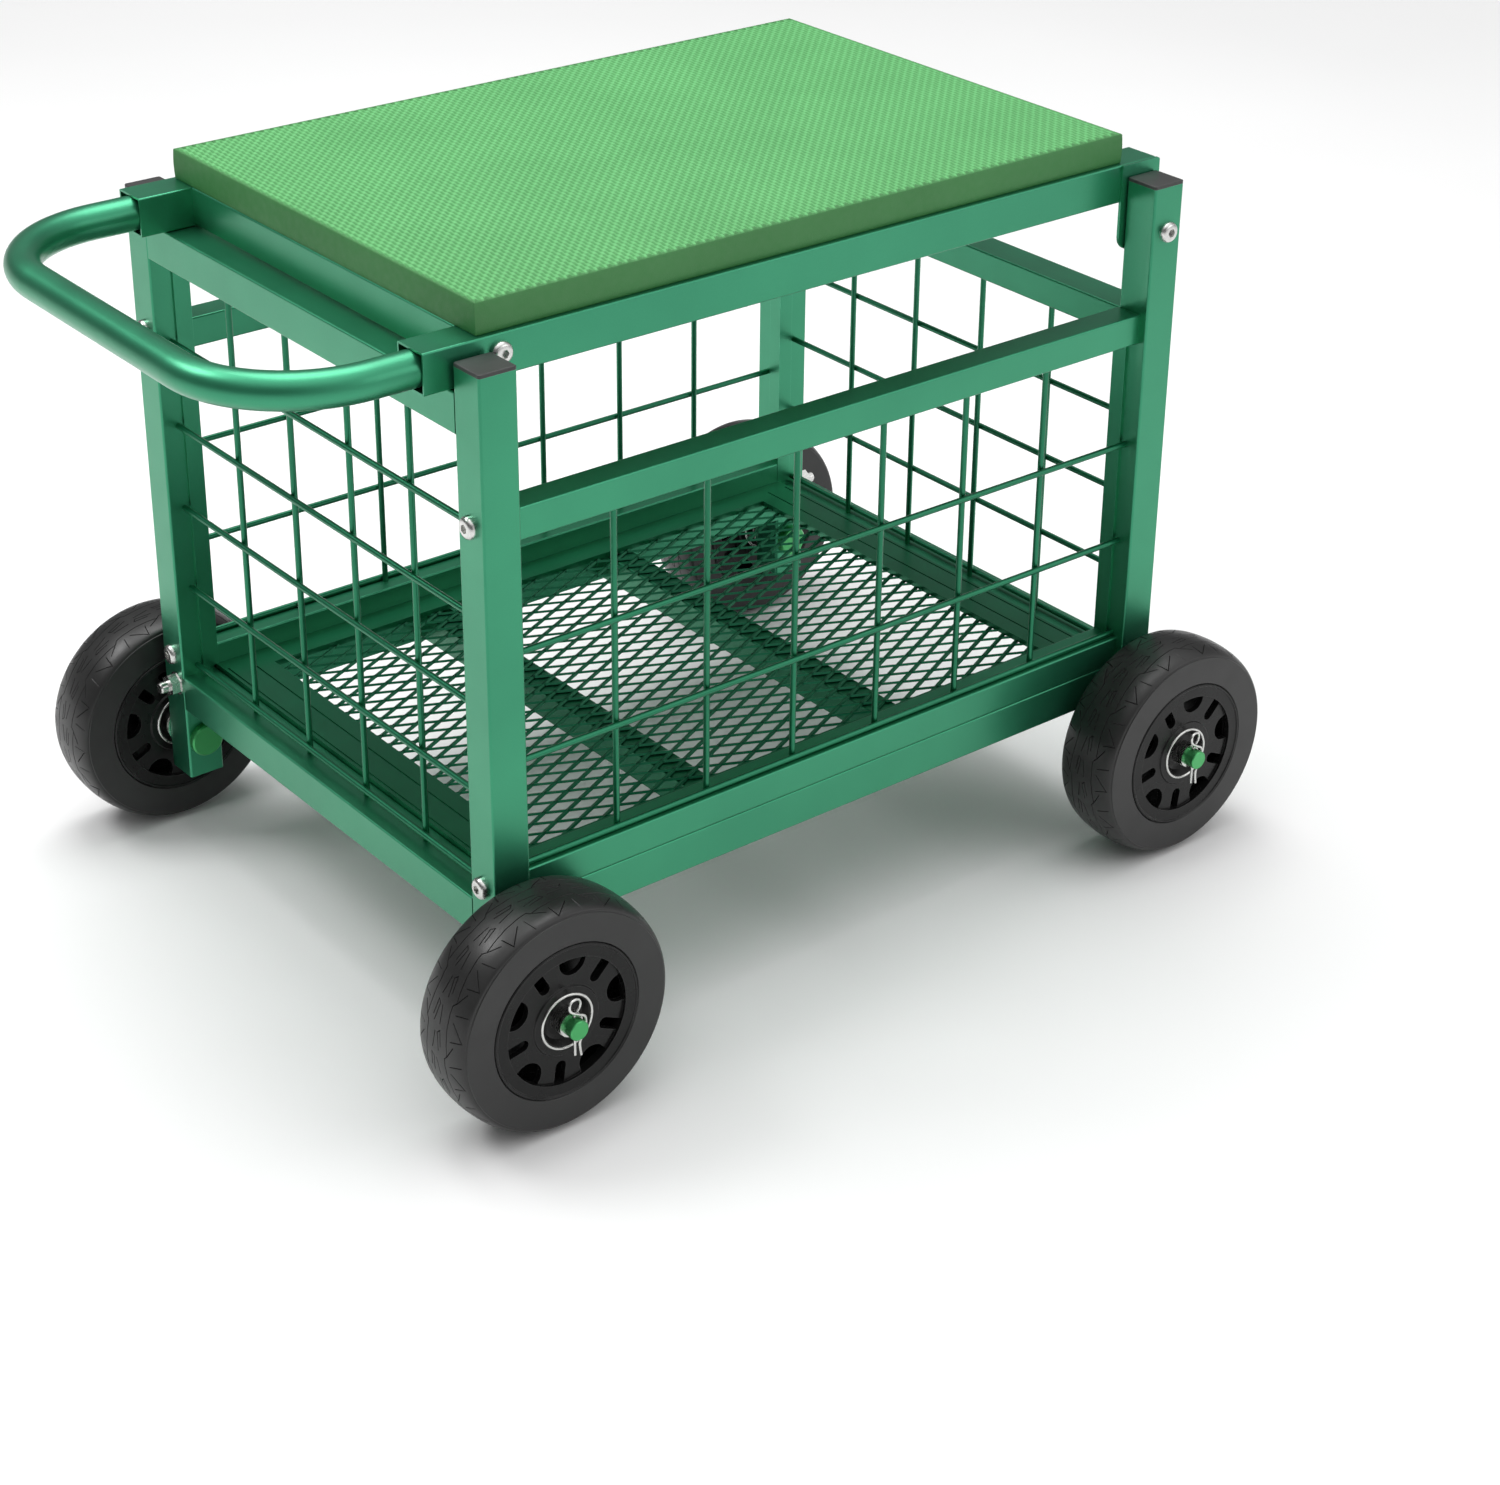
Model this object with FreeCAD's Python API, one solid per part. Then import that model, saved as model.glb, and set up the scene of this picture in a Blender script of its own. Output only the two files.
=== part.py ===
import FreeCAD, Part
import math
import os

# Rolling garden seat: a wheeled basket frame, a hinged lid with a foam pad, and a sliding U handle.
# Millimetres. Z = 0 is the floor, +Z up, -X the handle end, -Y the near side.
# X is measured from the middle of the four posts; SHIFT_X centres the bounding box when it is saved.

V = FreeCAD.Vector
ORIGIN = V(0, 0, 0)
X_AXIS = V(1, 0, 0)
Y_AXIS = V(0, 1, 0)
Z_AXIS = V(0, 0, 1)
ENDS = {"handle": -1, "hinge": 1}
SIDES = {"near": -1, "far": 1}
OVERCUT = 1.0            # how far a cutting shape runs past what it cuts
PARALLEL = 0.99          # cosine from which an edge counts as running along an axis
LEVEL_TOLERANCE = 0.01
BEND_SHARE = 0.45        # largest share of a straight run that one bend may take

# corner posts
POST = 25.0
POST_WALL = 1.2
POST_CORNER = 1.5
POST_OUT_X = 268.25
POST_OUT_Y = 197.0
POST_BOTTOM = 49.0
POST_TOP = 462.5
POST_SOLE = 2.0
CAP_H = 2.25
CAP_EDGE = 0.7
CAP_PLUG = 12.0
POST_IN_X = POST_OUT_X - POST
POST_IN_Y = POST_OUT_Y - POST
POST_MID_X = POST_OUT_X - POST / 2

# rails
RAIL = 25.0
PANEL_RAIL = 20.0
RAIL_WALL = 1.2
RAIL_CORNER = 1.2
PANEL_OUT_Y = 190.75
BASE_Z = 99.0
END_LOW_Z = 101.0
HANDLE_UP_Z = 422.0
PANEL_LOW_Z = 124.0
PANEL_TOP_Z = 357.0

# wire panels
WIRE_R = 2.0
WELD_SINK = 0.5
SIDE_WIRES = 6
SIDE_PITCH = 68.0
SIDE_LEVELS = (146.0, 215.0, 285.0)
SIDE_WIRE_Y = 182.3
END_WIRE_YS = (-101.0, -33.7, 33.7, 101.0)
END_WIRE_X = 253.4
END_LEVELS = {"handle": (132.6, 190.0, 248.0, 306.0, 364.0), "hinge": (129.5, 185.2, 242.0, 298.0)}

# floor
MESH_T = 1.2
FLOOR_GAP = 0.25
FLOOR_HALF_Y = PANEL_OUT_Y - PANEL_RAIL - FLOOR_GAP
FLOOR_Z = BASE_Z + RAIL
DIAMOND_PX = 13.7
DIAMOND_PY = 13.0
DIAMOND_HX = 10.0
DIAMOND_HY = 5.3
PLAIN_END = 20.0
PLAIN_SIDE = 10.0
BORDER_T = 4.0
BORDER_IN_X = 211.0
BORDER_IN_Y = 150.0
SEAM_XS = (224.0, 240.5)
SEAM_W = 1.2
SEAM_DEEP = 1.0
SEAM_HALF_Y = 160.0
FLOOR_BAR = 20.0
FLOOR_BAR_X = (-78.0, 78.0)

# corner edging, standing on the floor's border
ANGLE_LEG = 10.0
ANGLE_T = 1.5
ANGLE_RISE = MESH_T + BORDER_T

# fasteners
BOLT_R = 4.0
BOLT_HEAD_R = 7.0
BOLT_HEAD_H = 4.4
BOLT_DOME = 3.3
BOLT_LEN = 24.9
BOLT_Y = 184.0
BOLT_LEVELS = (371.0, 139.0)
SOCKET_ACROSS = 5.0
SOCKET_DEEP = 2.6
SHANK_SINK = 1.0         # how far a shank runs up into its head
NUT_ACROSS = 13.0
NUT_T = 6.5
THIN_NUT_T = 5.0
THIN_NUT_GAP = 1.0
FOOT_Y = 179.0
FOOT_Z = 119.5
FOOT_WASHER_R = 8.0
FOOT_WASHER_T = 1.6
STUD_REACH = 13.5
STUD_TIP_R = 3.2
STUD_TIP = 1.0

# lid
LID_OUT_Y = 169.4
LID_X0 = -285.25
LID_X1 = 270.0
LID_Z = 447.5
LID_WALL = 1.2
LID_END_WALL = 1.5
LID_BARS = 6
LID_BAR_DROP = 1.0
LID_TOP = LID_Z + RAIL
PAD_X0 = -249.0
PAD_X1 = 242.4
PAD_HALF_Y = 166.0
PAD_T = 20.0
PAD_CORNER = 2.0
PAD_EDGE = 0.8
PLATE_T = 2.0
PLATE_X0 = 239.0
PLATE_X1 = 272.0
PLATE_Z0 = 415.3
PLATE_LOW_ROUND = 10.0
PLATE_TOP_ROUND = 2.0
PIVOT_X = POST_MID_X
PIVOT_Z = 432.8
PIVOT_R = 4.0
PIVOT_HOLE_R = 4.05
PIVOT_LEN = 36.0
LOCK_X = -235.25
LOCK_Z = 461.5
LOCK_R = 3.0
LOCK_CLEAR = 0.2

# sliding handle
HANDLE_R = 11.0
HANDLE_WALL = 1.2
HANDLE_REACH = 100.0
HANDLE_BEND = 74.0
HANDLE_INSIDE = 225.0

# axles
AXLE_Z = 76.0
AXLE_R = 6.35
AXLE_TIP_Y = 262.2
AXLE_HEAD_R = 11.5
AXLE_HEAD_T = 5.0
AXLE_CHAMFER = 0.5
AXLE_HEAD_CHAMFER = 1.0
POST_WASHER = (14.0, 197.0, 199.6)
TIP_WASHER = (8.0, 252.2, 253.8)

# hairpin clips: corners of the wire's route from the pin hole, with +Y outwards
CLIP_X = -0.5
CLIP_Y = 256.0
CLIP_WIRE_R = 0.9
PIN_HOLE_R = 1.25
PIN_HOLE_HALF = 12.0
CLIP_ROUTE = (
    (0.0, 0.0, -20.0),
    (0.0, 0.0, 7.6),
    (-5.0, -0.2, 13.0),
    (-2.6, 0.5, 18.9),
    (4.2, 1.5, 18.6),
    (4.9, 2.1, 12.6),
    (-1.4, 2.3, 8.6),
    (-7.2, 1.0, 5.4),
    (-7.6, 0.6, -5.4),
    (-2.9, 0.6, -11.0),
    (-3.1, 0.6, -16.0),
    (-3.9, 0.6, -21.0),
)

# wheels
TYRE_R = 76.0
TYRE_HALF_W = 23.6
TYRE_FLAT_R = 70.0
TYRE_SHOULDER = 0.6
BEAD_R = 50.6
WHEEL_MID_Y = 226.7
HUB_TURN_DEG = 8.0
HUB_HALF_PROFILE = (
    (8.2, 17.6),
    (11.5, 17.6),
    (13.5, 18.6),
    (16.2, 22.4),
    (22.4, 22.4),
    (23.2, 21.4),
    (41.8, 21.4),
    (41.8, 23.3),
    (48.6, 23.3),
    (49.3, 24.0),
    (50.0, 24.0),
    (50.6, 23.4),
)
HUB_SHELL = (17.0, 44.0, 2.0, 17.4)
SPOKES = 5
WIDE_R = 9.4
WIDE_AT = 39.3
WIDE_RIM_HALF = 13.6
NARROW_R = 3.7
NARROW_AT = 30.5
WINDOW_END = 48.0
WINDOW_RIM_R = 41.8
WEB_HALF_T = 2.0
RING_R = 17.6
RING_WIRE_R = 0.9
RING_OUT = 22.65
RING_SEAT_R = 0.95
BUSHING_R = 8.2
BUSHING_PLAY = 0.08
BUSHING_IN = -26.6
BUSHING_OUT = 25.0

HANDLE_MIN_X = LID_X0 - HANDLE_REACH - HANDLE_R
WHEEL_MAX_X = POST_MID_X + TYRE_R
SHIFT_X = -(HANDLE_MIN_X + WHEEL_MAX_X) / 2


def save(name, shape):
    moved = shape.copy()
    moved.translate(V(SHIFT_X, 0, 0))
    moved.exportStep("parts/%s.step" % name)


def box(x0, x1, y0, y1, z0, z1):
    x0, x1 = sorted((x0, x1))
    y0, y1 = sorted((y0, y1))
    return Part.makeBox(x1 - x0, y1 - y0, z1 - z0, V(x0, y0, z0))


def rounded(shape, axis, radius):
    """Rounds the edges of a box that run along the axis."""
    edges = []
    for edge in shape.Edges:
        along = edge.Vertexes[1].Point - edge.Vertexes[0].Point
        if abs(along.dot(axis)) > PARALLEL * along.Length:
            edges.append(edge)
    return shape.makeFillet(radius, edges)


def rounded_at(shape, z, radius, across=None):
    """Rounds the edges at height z, or only those of them that run along the axis across."""
    edges = []
    for edge in shape.Edges:
        along = edge.Vertexes[-1].Point - edge.Vertexes[0].Point
        level = abs(edge.CenterOfMass.z - z) < LEVEL_TOLERANCE
        if level and (across is None or abs(along.dot(across)) > PARALLEL * along.Length):
            edges.append(edge)
    return shape.makeFillet(radius, edges)


def square_tube(x0, x1, y0, y1, z0, z1, axis):
    """Square tube, open at both ends, along X or Y."""
    outer = rounded(box(x0, x1, y0, y1, z0, z1), axis, RAIL_CORNER)
    in_x = -OVERCUT if axis == X_AXIS else RAIL_WALL
    in_y = -OVERCUT if axis == Y_AXIS else RAIL_WALL
    x0, x1 = sorted((x0, x1))
    y0, y1 = sorted((y0, y1))
    bore = box(x0 + in_x, x1 - in_x, y0 + in_y, y1 - in_y, z0 + RAIL_WALL, z1 - RAIL_WALL)
    return outer.cut(bore)


def rod(radius, start, end):
    along = end - start
    return Part.makeCylinder(radius, along.Length, start, along)


def group(shapes):
    return Part.makeCompound(list(shapes))


def joined(shapes):
    return shapes[0].multiFuse(shapes[1:]).removeSplitter()


def aimed(shape, origin, axis):
    """Copies a shape built along +Z so that it starts at the origin given and runs along the axis."""
    moved = shape.copy()
    moved.Placement = FreeCAD.Placement(origin, FreeCAD.Rotation(Z_AXIS, axis))
    return moved


def turned(points):
    """Solid of revolution about the Y axis, from (radius, y) points."""
    corners = [V(r, y, 0) for r, y in points]
    face = Part.Face(Part.makePolygon(corners + [corners[0]]))
    return face.revolve(ORIGIN, Y_AXIS, 360)


def at_corner(shape, ex, sy):
    """Copies a shape built round the axle line, with +Y outwards, to one corner of the cart."""
    moved = shape.copy()
    if sy < 0:
        moved.rotate(ORIGIN, Z_AXIS, 180)
    moved.translate(V(ex * POST_MID_X, 0, AXLE_Z))
    return moved


def bent_route(points, bend=None):
    """Straight runs joined by tangent arcs, of the bend radius or as large as the runs allow."""
    edges = []
    start = points[0]
    for before, corner, after in zip(points, points[1:], points[2:]):
        run_in = corner - before
        run_out = after - corner
        half_turn = run_in.getAngle(run_out) / 2
        if bend is None:
            setback = BEND_SHARE * min(run_in.Length, run_out.Length)
        else:
            setback = bend * math.tan(half_turn)
        radius = setback / math.tan(half_turn)
        u = run_in.normalize()
        v = run_out.normalize()
        inwards = (v - u).normalize()
        middle = corner + inwards * (radius / math.cos(half_turn) - radius)
        edges.append(Part.makeLine(start, corner - u * setback))
        edges.append(Part.Arc(corner - u * setback, middle, corner + v * setback).toShape())
        start = corner + v * setback
    edges.append(Part.makeLine(start, points[-1]))
    return Part.Wire(edges)


def swept(route, radius, start, axis):
    ring = Part.Wire([Part.makeCircle(radius, start, axis)])
    return route.makePipeShell([ring], True, False)


def hex_prism(across, height):
    """Hexagonal prism on the XY plane, from its width across the flats."""
    r = across / math.sqrt(3)
    corners = []
    for i in range(6):
        a = math.radians(60 * i)
        corners.append(V(r * math.cos(a), r * math.sin(a), 0))
    return Part.Face(Part.makePolygon(corners + [corners[0]])).extrude(V(0, 0, height))


def button_bolt(shank_r, shank_len):
    """Button-head bolt with a hex socket; its head sits on the XY plane and its shank runs down."""
    head = Part.makeCylinder(BOLT_HEAD_R, BOLT_HEAD_H)
    head = rounded_at(head, BOLT_HEAD_H, BOLT_DOME)
    socket = hex_prism(SOCKET_ACROSS, SOCKET_DEEP + OVERCUT)
    socket.translate(V(0, 0, BOLT_HEAD_H - SOCKET_DEEP))
    shank = Part.makeCylinder(shank_r, shank_len + SHANK_SINK, V(0, 0, -shank_len))
    return head.cut(socket).fuse(shank)


# frame --------------------------------------------------------------------------------------
def post(end, side):
    ex = ENDS[end]
    sy = SIDES[side]
    body = box(ex * POST_IN_X, ex * POST_OUT_X, sy * POST_IN_Y, sy * POST_OUT_Y, POST_BOTTOM, POST_TOP)
    body = rounded(body, Z_AXIS, POST_CORNER)
    bore = box(
        ex * (POST_IN_X + POST_WALL),
        ex * (POST_OUT_X - POST_WALL),
        sy * (POST_IN_Y + POST_WALL),
        sy * (POST_OUT_Y - POST_WALL),
        POST_BOTTOM + POST_SOLE,
        POST_TOP + OVERCUT,
    )
    x_in = ex * (POST_IN_X - OVERCUT)
    x_out = ex * (POST_OUT_X + OVERCUT)
    y_in = sy * (POST_IN_Y - OVERCUT)
    y_out = sy * (POST_OUT_Y + OVERCUT)
    holes = [rod(AXLE_R, V(ex * POST_MID_X, y_in, AXLE_Z), V(ex * POST_MID_X, y_out, AXLE_Z))]
    for z in BOLT_LEVELS:
        holes.append(rod(BOLT_R, V(x_in, sy * BOLT_Y, z), V(x_out, sy * BOLT_Y, z)))
    if side == "far":
        holes.append(rod(BOLT_R, V(x_in, FOOT_Y, FOOT_Z), V(x_out, FOOT_Y, FOOT_Z)))
    if end == "hinge":
        holes.append(rod(PIVOT_R, V(PIVOT_X, y_in, PIVOT_Z), V(PIVOT_X, y_out, PIVOT_Z)))
    return body.cut(bore).cut(group(holes))


def post_cap(ex, sy):
    top = box(
        ex * POST_IN_X, ex * POST_OUT_X, sy * POST_IN_Y, sy * POST_OUT_Y, POST_TOP, POST_TOP + CAP_H
    )
    top = rounded_at(rounded(top, Z_AXIS, POST_CORNER), POST_TOP + CAP_H, CAP_EDGE)
    plug = box(
        ex * (POST_IN_X + POST_WALL),
        ex * (POST_OUT_X - POST_WALL),
        sy * (POST_IN_Y + POST_WALL),
        sy * (POST_OUT_Y - POST_WALL),
        POST_TOP - CAP_PLUG,
        POST_TOP,
    )
    return top.fuse(plug)


def cross_rail(ex, z0, height):
    return square_tube(
        ex * POST_IN_X, ex * POST_OUT_X, -POST_IN_Y, POST_IN_Y, z0, z0 + height, Y_AXIS
    )


def side_rail(sy, z0, size):
    """Rail between two posts, flush with the panel's outer face."""
    y_in = sy * (PANEL_OUT_Y - size)
    return square_tube(-POST_IN_X, POST_IN_X, y_in, sy * PANEL_OUT_Y, z0, z0 + size, X_AXIS)


def corner_angle(end, sy):
    """Folded angle on a post's inner corner, notched where the panel rails pass."""
    ex = ENDS[end]
    z0 = PANEL_LOW_Z + ANGLE_RISE
    z1 = HANDLE_UP_Z if end == "handle" else PANEL_TOP_Z
    x_in = ex * (POST_IN_X - ANGLE_T)
    y_in = sy * (POST_IN_Y - ANGLE_T)
    on_y = box(ex * (POST_IN_X + ANGLE_LEG), x_in, y_in, sy * POST_IN_Y, z0, z1)
    on_x = box(ex * POST_IN_X, x_in, y_in, sy * (POST_IN_Y + ANGLE_LEG), z0, z1)
    angle = joined([on_y, on_x])
    for z in (PANEL_TOP_Z, PANEL_LOW_Z):
        y_rail = sy * (PANEL_OUT_Y - PANEL_RAIL)
        angle = angle.cut(
            box(-POST_IN_X, POST_IN_X, y_rail, sy * PANEL_OUT_Y, z, z + PANEL_RAIL)
        )
    return angle


# wire panels --------------------------------------------------------------------------------
def side_wires(sy):
    """Welded grid in the long side: upright wires inside, level wires outside them."""
    wires = []
    y = sy * SIDE_WIRE_Y
    z0 = PANEL_LOW_Z + PANEL_RAIL
    for i in range(SIDE_WIRES):
        x = (i - (SIDE_WIRES - 1) / 2) * SIDE_PITCH
        wires.append(rod(WIRE_R, V(x, y, z0), V(x, y, PANEL_TOP_Z)))
    y += sy * (2 * WIRE_R - WELD_SINK)
    for z in SIDE_LEVELS:
        wires.append(rod(WIRE_R, V(-POST_IN_X, y, z), V(POST_IN_X, y, z)))
    return joined(wires)


def end_wires(end):
    ex = ENDS[end]
    wires = []
    x = ex * END_WIRE_X
    z0 = END_LOW_Z + RAIL
    z1 = HANDLE_UP_Z if end == "handle" else PANEL_TOP_Z
    for y in END_WIRE_YS:
        wires.append(rod(WIRE_R, V(x, y, z0), V(x, y, z1)))
    x += ex * (2 * WIRE_R - WELD_SINK)
    for z in END_LEVELS[end]:
        wires.append(rod(WIRE_R, V(x, -POST_IN_Y, z), V(x, POST_IN_Y, z)))
    return joined(wires)


# basket floor -------------------------------------------------------------------------------
def outline(points, z):
    corners = [V(x, y, z) for x, y in points]
    return Part.makePolygon(corners + [corners[0]])


def floor_sheet():
    """Expanded-metal sheet: plain margins, and rows of diamonds offset by half a pitch."""
    x, y = POST_IN_X, FLOOR_HALF_Y
    wires = [outline([(-x, -y), (x, -y), (x, y), (-x, y)], FLOOR_Z)]
    across = int(x / DIAMOND_PX)
    along = int(y / DIAMOND_PY)
    for i in range(-across, across + 1):
        for j in range(-along, along + 1):
            cx = i * DIAMOND_PX
            cy = (j + (i % 2) / 2) * DIAMOND_PY
            if abs(cx) + DIAMOND_HX > x - PLAIN_END or abs(cy) + DIAMOND_HY > y - PLAIN_SIDE:
                continue
            diamond = [
                (cx - DIAMOND_HX, cy), (cx, cy + DIAMOND_HY), (cx + DIAMOND_HX, cy), (cx, cy - DIAMOND_HY)
            ]
            wires.append(outline(diamond, FLOOR_Z))
    return Part.makeFace(wires, "Part::FaceMakerBullseye").extrude(V(0, 0, MESH_T))


def floor_border():
    """Flat strips over the sheet's margin, with a seam on each side of the end strips."""
    z0 = FLOOR_Z + MESH_T
    z1 = z0 + BORDER_T
    strips = box(-POST_IN_X, POST_IN_X, -FLOOR_HALF_Y, FLOOR_HALF_Y, z0, z1)
    cuts = [box(-BORDER_IN_X, BORDER_IN_X, -BORDER_IN_Y, BORDER_IN_Y, z0 - OVERCUT, z1 + OVERCUT)]
    for ex in ENDS.values():
        for x in SEAM_XS:
            x0 = ex * (x - SEAM_W / 2)
            x1 = ex * (x + SEAM_W / 2)
            cuts.append(box(x0, x1, -SEAM_HALF_Y, SEAM_HALF_Y, z1 - SEAM_DEEP, z1 + OVERCUT))
    return strips.cut(group(cuts))


def floor_bars():
    bars = []
    y = PANEL_OUT_Y - RAIL
    half = FLOOR_BAR / 2
    for x in FLOOR_BAR_X:
        bars.append(square_tube(x - half, x + half, -y, y, FLOOR_Z - FLOOR_BAR, FLOOR_Z, Y_AXIS))
    return group(bars)


# axles, washers, hairpin clips --------------------------------------------------------------
def axle():
    """Headed pin through the post, with a cross hole for the clip near its tip."""
    head_y = POST_IN_Y - AXLE_HEAD_T
    shaft = turned(
        [
            (0, head_y),
            (AXLE_HEAD_R - AXLE_HEAD_CHAMFER, head_y),
            (AXLE_HEAD_R, head_y + AXLE_HEAD_CHAMFER),
            (AXLE_HEAD_R, POST_IN_Y),
            (AXLE_R, POST_IN_Y),
            (AXLE_R, AXLE_TIP_Y - AXLE_CHAMFER),
            (AXLE_R - AXLE_CHAMFER, AXLE_TIP_Y),
            (0, AXLE_TIP_Y),
        ]
    )
    low = V(CLIP_X, CLIP_Y, -PIN_HOLE_HALF)
    high = V(CLIP_X, CLIP_Y, PIN_HOLE_HALF)
    return shaft.cut(rod(PIN_HOLE_R, low, high))


def washer(size):
    r, y0, y1 = size
    return turned([(AXLE_R, y0), (r, y0), (r, y1), (AXLE_R, y1)])


def hairpin_clip():
    """R-shaped spring wire: one leg through the axle, the other sprung round its outside."""
    points = [V(CLIP_X + x, CLIP_Y + y, z) for x, y, z in CLIP_ROUTE]
    return swept(bent_route(points), CLIP_WIRE_R, points[0], Z_AXIS)


def at_corners(shapes):
    """The shapes, copied to all four corners."""
    copies = []
    for ex in ENDS.values():
        for sy in SIDES.values():
            copies += [at_corner(shape, ex, sy) for shape in shapes]
    return group(copies)


# bolts --------------------------------------------------------------------------------------
def frame_bolts():
    bolt = button_bolt(BOLT_R, BOLT_LEN)
    bolts = []
    for ex in ENDS.values():
        for sy in SIDES.values():
            for z in BOLT_LEVELS:
                bolts.append(aimed(bolt, V(ex * POST_OUT_X, sy * BOLT_Y, z), V(ex, 0, 0)))
    return group(bolts)


def foot_bolts():
    """Washer, nut and bare thread end on the far posts."""
    disc = Part.makeCylinder(FOOT_WASHER_R, FOOT_WASHER_T)
    nut = hex_prism(NUT_ACROSS, NUT_T)
    nut.translate(V(0, 0, FOOT_WASHER_T))
    stud = Part.makeCylinder(BOLT_R, POST + STUD_REACH, V(0, 0, -POST))
    tip = Part.makeCone(BOLT_R, STUD_TIP_R, STUD_TIP, V(0, 0, STUD_REACH))
    foot = joined([disc, nut, stud, tip])
    return group(aimed(foot, V(ex * POST_OUT_X, FOOT_Y, FOOT_Z), V(ex, 0, 0)) for ex in ENDS.values())


def pivot_bolts():
    nut = hex_prism(NUT_ACROSS, THIN_NUT_T)
    nut.translate(V(0, 0, LID_OUT_Y - POST_OUT_Y - THIN_NUT_T - THIN_NUT_GAP))
    bolt = button_bolt(PIVOT_R, PIVOT_LEN).fuse(nut)
    return group(aimed(bolt, V(PIVOT_X, sy * POST_OUT_Y, PIVOT_Z), V(0, sy, 0)) for sy in SIDES.values())


def lock_screws():
    screw = button_bolt(LOCK_R, LID_WALL)
    return group(aimed(screw, V(LOCK_X, sy * LID_OUT_Y, LOCK_Z), V(0, sy, 0)) for sy in SIDES.values())


# lid ----------------------------------------------------------------------------------------
def lid_tube(sy):
    """Side tube of the lid: open towards the handle, which slides in it, and closed at the hinge."""
    body = box(LID_X0, LID_X1, sy * (LID_OUT_Y - RAIL), sy * LID_OUT_Y, LID_Z, LID_TOP)
    body = rounded(body, X_AXIS, RAIL_CORNER)
    bore = box(
        LID_X0 - OVERCUT,
        LID_X1 - LID_END_WALL,
        sy * (LID_OUT_Y - RAIL + LID_WALL),
        sy * (LID_OUT_Y - LID_WALL),
        LID_Z + LID_WALL,
        LID_TOP - LID_WALL,
    )
    y_out = sy * (LID_OUT_Y + OVERCUT)
    y_in = sy * (LID_OUT_Y - LID_WALL - LOCK_CLEAR)
    return body.cut(bore).cut(rod(LOCK_R, V(LOCK_X, y_out, LOCK_Z), V(LOCK_X, y_in, LOCK_Z)))


def hinge_plate(sy):
    plate = box(PLATE_X0, PLATE_X1, sy * LID_OUT_Y, sy * (LID_OUT_Y + PLATE_T), PLATE_Z0, LID_TOP)
    plate = rounded_at(plate, PLATE_Z0, PLATE_LOW_ROUND, Y_AXIS)
    plate = rounded_at(plate, LID_TOP, PLATE_TOP_ROUND, Y_AXIS)
    y_in = sy * (LID_OUT_Y - OVERCUT)
    y_out = sy * (LID_OUT_Y + PLATE_T + OVERCUT)
    return plate.cut(rod(PIVOT_HOLE_R, V(PIVOT_X, y_in, PIVOT_Z), V(PIVOT_X, y_out, PIVOT_Z)))


def lid_bars():
    """Cross bars between the side tubes, evenly spaced under the pad."""
    bars = []
    y = LID_OUT_Y - RAIL
    pitch = (PAD_X1 - PAD_X0 - RAIL) / (LID_BARS - 1)
    for i in range(LID_BARS):
        x = PAD_X0 + i * pitch
        bars.append(square_tube(x, x + RAIL, -y, y, LID_Z + LID_BAR_DROP, LID_TOP, Y_AXIS))
    return group(bars)


def seat_pad():
    pad = box(PAD_X0, PAD_X1, -PAD_HALF_Y, PAD_HALF_Y, LID_TOP, LID_TOP + PAD_T)
    return rounded_at(rounded(pad, Z_AXIS, PAD_CORNER), LID_TOP + PAD_T, PAD_EDGE)


def handle_tube():
    """U-shaped round tube whose legs run inside the lid's side tubes."""
    y = LID_OUT_Y - RAIL / 2
    z = LID_Z + RAIL / 2
    x_in = LID_X0 + HANDLE_INSIDE
    x_out = LID_X0 - HANDLE_REACH
    points = [V(x_in, -y, z), V(x_out, -y, z), V(x_out, y, z), V(x_in, y, z)]
    route = bent_route(points, HANDLE_BEND)
    skin = swept(route, HANDLE_R, points[0], X_AXIS)
    return skin.cut(swept(route, HANDLE_R - HANDLE_WALL, points[0], X_AXIS))


# wheels: one wheel round the axle line, its outer face towards +Y ---------------------------
def shifted(points):
    """(radius, distance from the wheel's middle plane) points, as (radius, y) points."""
    return [(r, WHEEL_MID_Y + w) for r, w in points]


def tyre():
    """Flat sidewalls out to a crisp shoulder, and an elliptical crown between them."""
    half = TYRE_HALF_W - TYRE_SHOULDER
    centre = V(TYRE_FLAT_R, WHEEL_MID_Y, 0)
    ellipse = Part.Ellipse(centre + V(0, half, 0), centre + V(TYRE_R - TYRE_FLAT_R, 0, 0), centre)
    crown = Part.Arc(ellipse, 0, math.pi).toShape()
    top = crown.valueAt(crown.FirstParameter)
    bottom = crown.valueAt(crown.LastParameter)
    out_y = WHEEL_MID_Y + TYRE_HALF_W
    in_y = WHEEL_MID_Y - TYRE_HALF_W
    flat_r = TYRE_FLAT_R - TYRE_SHOULDER / 2
    side = [top, V(flat_r, out_y, 0), V(BEAD_R, out_y, 0), V(BEAD_R, in_y, 0), V(flat_r, in_y, 0), bottom]
    profile = Part.Wire([crown] + Part.makePolygon(side).Edges)
    return Part.Face(profile).revolve(ORIGIN, Y_AXIS, 360)


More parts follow.
